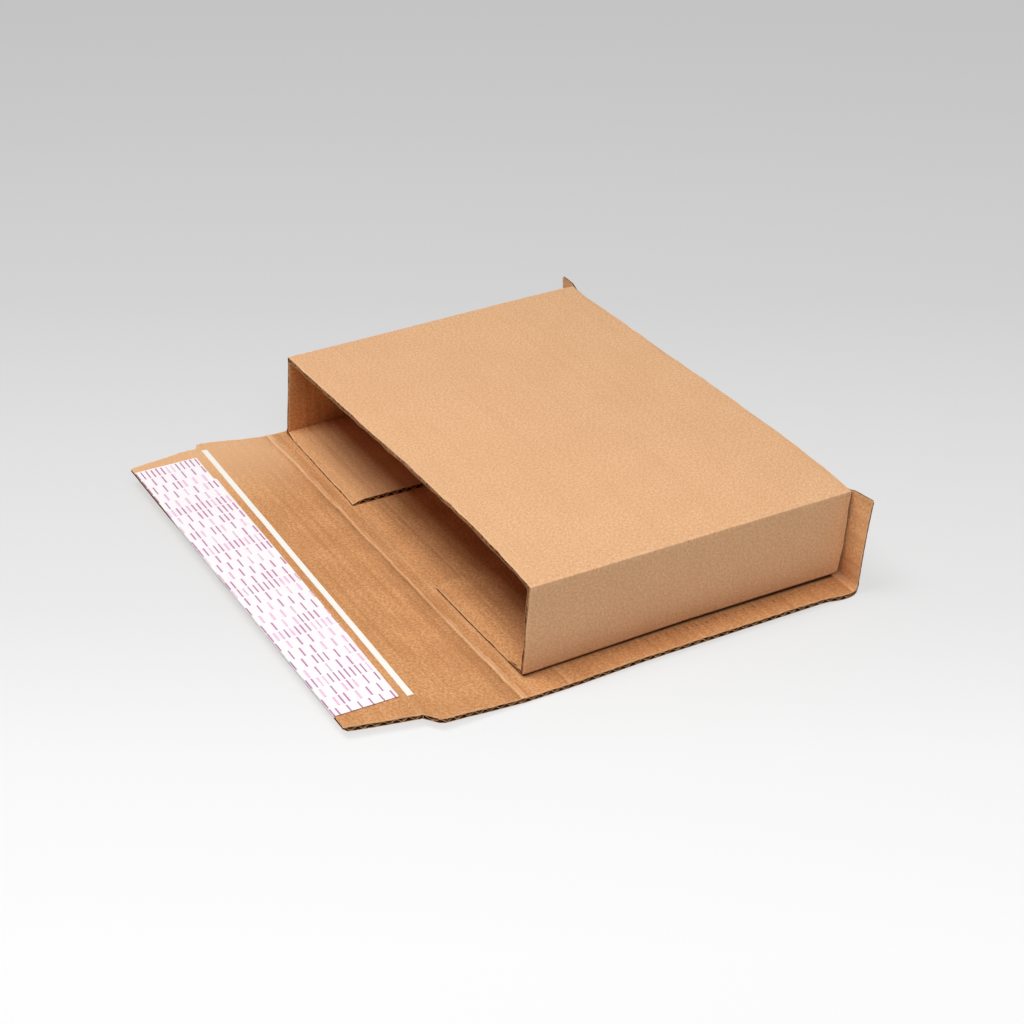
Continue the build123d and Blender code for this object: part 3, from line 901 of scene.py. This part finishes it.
def filmMaterial(name, colour, roughness):
    # smooth film or adhesive, with faint ripples and dust
    material, tree, shader = newMaterial(name)
    ripple = noiseNode(tree, sheetVector(tree, 1, 0.3), 240, 2.0)
    dust = noiseNode(tree, sheetVector(tree, 1, 1), 1400, 2.0)
    tone = tuple(c * 0.985 for c in colour[:3]) + (1,)
    dusty = ramp(tree, dust, 0.35, 0.7, 0, 0.6)
    rough = ramp(tree, ripple, 0.3, 0.7, roughness - 0.06, roughness + 0.08)
    surface(tree, shader, mixColour(tree, dusty, colour, tone), rough, 0.4,
            mathNode(tree, "MULTIPLY", ripple, 0.00012), 0.6)
    return material


tape = {
    "width": 3.7, "thickness": 0.2, "setback": 2.4, "skew": 5.5,
    "frontInset": 28.0, "backInset": 10.5, "colour": srgb(255, 254, 246),
}
tapeOuter = closingLength - tape["setback"]
tapeFront = frontY + tape["frontInset"]
tapeBack = backY - tape["backInset"]


def tapeEdge(setback):
    def edge(along):
        share = (along - tapeFront) / (tapeBack - tapeFront)
        return tapeOuter - setback - tape["skew"] * share + 0.10 * roughLine(along, 40.0, 41)
    return edge


tearTape = thinSheet("tearTape", tapeEdge(tape["width"]), tapeEdge(0), tapeFront, tapeBack, 110, 5,
                     tape["thickness"], stuckGap, filmMaterial("tapeFilm", tape["colour"], 0.42))
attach(tearTape, "closing_wall")
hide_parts("tear_tape")
print("tear tape done")


# the adhesive strip and the printed liner over it

liner = {
    "adhesive": 0.2, "paper": 0.15, "border": 1.0, "outerGap": 0.1,
    "setback": 2.2,  # from the seal fold at the front; the inner edge crosses the fold at the back
    "skew": 4.6,
    "frontInset": 29.0, "backInset": 19.5, "step": 1.6, "stepLength": 30.0,
    "hang": 2.3,  # how far the paper hangs over the flap's edge, except near the back
    "hangFrom": 105.0,  # where along the flap that begins
    "hangOver": 35.0,
    "curl": 0.30,  # how far its edges stand up
    "columnGap": 3.25, "rowGap": 10.0, "rowDrift": 0.07, "fullRowEvery": 5,
    # a dash's width, start and end are shares of the gaps between columns and rows
    "dashWidth": 0.21, "dashStart": 0.06, "dashEnd": 0.84, "dashVaries": 0.10, "fullDashLonger": 0.04,
    "dots": 7,  # in a dotted dash
    "dottedShare": 0.34, "pinkShare": 0.28, "extraShare": 0.08,
    "white": srgb(255, 250, 252), "pink": srgb(216, 146, 188), "mauve": srgb(176, 114, 150),
    "blush": srgb(252, 226, 241),  # the paper beside a dash
}
linerFront = frontY + liner["frontInset"]
linerBack = backY - liner["backInset"]
linerStepAt = linerBack - liner["stepLength"]


def linerInner(along):
    stepped = liner["step"] * fade(along, linerStepAt, 0.6)
    slant = liner["skew"] * (along - linerFront) / (linerBack - linerFront)
    return closingLength + liner["setback"] - slant + stepped + 0.08 * roughLine(along, 6.0, 51)


def linerOuter(along):
    hang = liner["hang"] * fade(along, liner["hangFrom"], -liner["hangOver"])
    return flapEdge - liner["outerGap"] + hang * (1 + 0.15 * roughLine(along, 20.0, 52))


def linerPlace(across, along, above):
    # the paper curls up a little along its edges, and what passes the flap's edge hangs down
    out = -across
    fromEnd = np.minimum(along - linerFront, linerBack - along)
    fromSide = np.clip(np.minimum(fromEnd, out - linerInner(along)), 0, None)
    curl = liner["curl"] * bump(fromSide, 2.2) * (0.5 + 0.5 * roughPlane(across, along, 24.0, 53))
    past = np.clip(out - flapEdge, 0, None)
    outHere = np.minimum(out, flapEdge) + 0.10 * np.clip(past, 0, 2)
    return wrapPoint(-outHere, along, past * 0.97 - above - curl * (past <= 0), 0)


def printedLiner():
    # white release paper with short dashes in rows and columns
    material, tree, shader = newMaterial("printedLiner")
    calc = partial(mathNode, tree)
    even = sheetVector(tree, 1, 1)
    split = addNode(tree, "SeparateXYZ", even)

    # where in which column and row
    column = calc("MULTIPLY", split.outputs[0], 1 / (liner["columnGap"] * mm))
    columnNumber = calc("FLOOR", column)
    fromMiddle = calc("ABSOLUTE", calc("SUBTRACT", calc("FRACT", column), 0.5))
    shift = addNode(tree, "TexWhiteNoise", None, columnNumber, noise_dimensions="1D")
    fromBack = calc("SUBTRACT", split.outputs[1], (linerBack - liner["rowGap"]) * mm)
    row = calc("MULTIPLY", fromBack, 1 / (liner["rowGap"] * mm))
    row = calc("MULTIPLY_ADD", shift.outputs["Value"], liner["rowDrift"], row)
    along = calc("FRACT", row)
    rowNumber = calc("FLOOR", row)
    cell = addNode(tree, "CombineXYZ", columnNumber, rowNumber)
    dice = addNode(tree, "TexWhiteNoise", cell.outputs[0], noise_dimensions="2D")
    chance = dice.outputs["Value"]

    # every fifth row is full and longer, the others hold every second dash and a few more
    fifth = calc("FRACT", calc("DIVIDE", rowNumber, liner["fullRowEvery"]))
    full = calc("LESS_THAN", fifth, 0.5 / liner["fullRowEvery"])
    paired = calc("FRACT", calc("MULTIPLY", calc("ADD", columnNumber, rowNumber), 0.5))
    shown = calc("MAXIMUM", full, calc("LESS_THAN", paired, 0.25))
    shown = calc("MAXIMUM", shown, calc("GREATER_THAN", chance, 1 - liner["extraShare"]))

    # a dash's length, with soft sides, and some dashes dotted
    dashEnd = calc("MULTIPLY_ADD", chance, liner["dashVaries"], liner["dashEnd"])
    dashEnd = calc("MULTIPLY_ADD", full, liner["fullDashLonger"], dashEnd)
    started = calc("GREATER_THAN", along, liner["dashStart"])
    inside = calc("MULTIPLY", calc("MULTIPLY", started, calc("LESS_THAN", along, dashEnd)), shown)
    narrow = ramp(tree, fromMiddle, liner["dashWidth"] / 2 + 0.04, liner["dashWidth"] / 2 - 0.02, 0, 1)
    dots = calc("GREATER_THAN", calc("FRACT", calc("MULTIPLY", along, liner["dots"])), 0.5)
    solid = calc("MAXIMUM", dots, calc("GREATER_THAN", chance, liner["dottedShare"]))
    ink = calc("MULTIPLY", calc("MULTIPLY", inside, narrow), solid)

    # a blush round it, in patches
    blotch = ramp(tree, noiseNode(tree, even, 60, 1.0), 0.40, 0.55, 0.2, 1)
    halo = calc("MULTIPLY", ramp(tree, fromMiddle, 0.48, 0.10, 0, 1), inside)
    halo = calc("MULTIPLY", halo, blotch)
    tint = mixColour(tree, calc("GREATER_THAN", chance, liner["pinkShare"]), liner["pink"], liner["mauve"])
    colour = mixColour(tree, halo, liner["white"], liner["blush"])
    colour = mixColour(tree, ink, colour, tint)
    crumple = noiseNode(tree, sheetVector(tree, 1, 0.6), 90, 2.0)
    surface(tree, shader, colour, 0.5, 0.35, calc("MULTIPLY", crumple, 0.0002), 0.5)
    return material


def innerBorder(along):
    return linerInner(along) + liner["border"]


def outerBorder(along):
    return np.full(len(along), flapEdge - liner["border"] - 0.4)


adhesiveStrip = thinSheet("adhesiveStrip", innerBorder, outerBorder,
                          linerFront + liner["border"], linerBack - liner["border"], 60, 8,
                          liner["adhesive"], stuckGap,
                          filmMaterial("adhesiveFilm", srgb(226, 220, 206), 0.35))
bendWithSealFlap(adhesiveStrip)
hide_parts("adhesive_strip")

releaseLiner = thinSheet("releaseLiner", linerInner, linerOuter, linerFront, linerBack, 300, 60,
                         liner["adhesive"] + liner["paper"], liner["adhesive"] + stuckGap,
                         printedLiner(), linerPlace)
bendWithSealFlap(releaseLiner)
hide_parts("release_liner")
print("liner and adhesive done")


# floor, light and camera

studio = {
    "floorSize": 40.0,
    "floorDrop": 0.0002,  # how far below the board the floor lies
    "floorBounce": 0.72,  # how bright the floor is to other rays than the camera's
    "shadowShare": 0.22,  # how much of the shadows is seen
    # the floor's grey at distances from the object, along the camera's way
    "greys": [(-0.40, 252), (-0.25, 247), (-0.11, 234), (0.30, 214), (0.68, 208), (0.95, 206)],
    "skyLow": 0.06, "skyHigh": 0.20,  # the sky is brighter overhead
    "lamps": {
        "key": {"power": 13.3, "size": 0.65, "at": (-0.50, 0.02, 1.33)},
        "front": {"power": 14.8, "size": 1.1, "at": (-0.2, -1.45, 1.60)},
        "right": {"power": 1.8, "size": 1.2, "at": (1.6, 0.0, 1.5)},
    },
}
camera = {
    "at": (-0.60543, -1.03156, 0.70701),
    "back": (-0.41946, -0.75130, 0.50952),  # the way from what it looks at
    "lens": 79.80,
    "sensor": 36,
}


def makeFloor():
    half = studio["floorSize"] / 2
    mesh = bpy.data.meshes.new("floor")
    corners = [(-half, -half, 0), (half, -half, 0), (half, half, 0), (-half, half, 0)]
    mesh.from_pydata(corners, [], [(0, 1, 2, 3)])
    floor = bpy.data.objects.new("floor", mesh)
    bpy.context.scene.collection.objects.link(floor)
    floor.location.z = -studio["floorDrop"]
    material, tree, output = emptyMaterial("floorPaper")

    # the greys lie in bands across the camera's way
    place = addNode(tree, "NewGeometry").outputs["Position"]
    way = Vector((-camera["back"][0], -camera["back"][1], 0)).normalized()
    distance = addNode(tree, "VectorMath", place, way, operation="DOT_PRODUCT")
    near, far = studio["greys"][0][0], studio["greys"][-1][0]
    share = addNode(tree, "MapRange", distance.outputs["Value"], near, far)
    greys = addNode(tree, "ValToRGB", share.outputs[0])
    while len(greys.color_ramp.elements) < len(studio["greys"]):
        greys.color_ramp.elements.new(0.5)
    for element, (at, level) in zip(greys.color_ramp.elements, studio["greys"]):
        element.position = (at - near) / (far - near)
        element.color = srgb(level, level, level)

    # the camera sees the greys themselves with a share of shadow, and other rays see an even floor
    glow = addNode(tree, "Emission", greys.outputs[0])
    matt = addNode(tree, "BsdfDiffuse", greys.outputs[0])
    seen = addNode(tree, "MixShader", studio["shadowShare"], glow.outputs[0], matt.outputs[0])
    bounce = addNode(tree, "BsdfDiffuse", (studio["floorBounce"],) * 3 + (1,))
    rays = addNode(tree, "LightPath")
    direct = mathNode(tree, "MAXIMUM", rays.outputs["Is Camera Ray"], rays.outputs["Is Glossy Ray"])
    direct = mathNode(tree, "MAXIMUM", direct, rays.outputs["Is Transmission Ray"])
    both = addNode(tree, "MixShader", direct, bounce.outputs[0], seen.outputs[0])
    join(tree, output.inputs[0], both.outputs[0])
    mesh.materials.append(material)


def hang(name, data, at, towards):
    # lamps and cameras look along their own -Z
    holder = bpy.data.objects.new(name, data)
    holder.location = at
    holder.rotation_mode = "QUATERNION"
    holder.rotation_quaternion = towards.to_track_quat("-Z", "Y")
    bpy.context.scene.collection.objects.link(holder)
    return holder


def makeLamp(name, lamp):
    data = bpy.data.lights.new(name, "AREA")
    data.energy = lamp["power"]
    data.size = lamp["size"]
    hang(name, data, lamp["at"], -Vector(lamp["at"]))


def makeSky():
    world = bpy.data.worlds.new("studioSky")
    world.use_nodes = True
    tree = world.node_tree
    backdrop = tree.nodes["Background"]
    backdrop.inputs[0].default_value = (1, 1, 1, 1)
    split = addNode(tree, "SeparateXYZ", addNode(tree, "TexCoord").outputs["Generated"])
    level = ramp(tree, split.outputs[2], 0.1, 0.9, studio["skyLow"], studio["skyHigh"])
    tree.links.new(level, backdrop.inputs[1])
    bpy.context.scene.world = world


def makeCamera():
    data = bpy.data.cameras.new("camera")
    data.lens = camera["lens"]
    data.sensor_width = camera["sensor"]
    data.clip_start = 0.05
    data.clip_end = 30
    bpy.context.scene.camera = hang("camera", data, camera["at"], -Vector(camera["back"]))


makeFloor()
for name, lamp in studio["lamps"].items():
    makeLamp(name, lamp)
makeSky()
makeCamera()
bpy.context.scene.view_settings.view_transform = "Standard"
print("studio done")
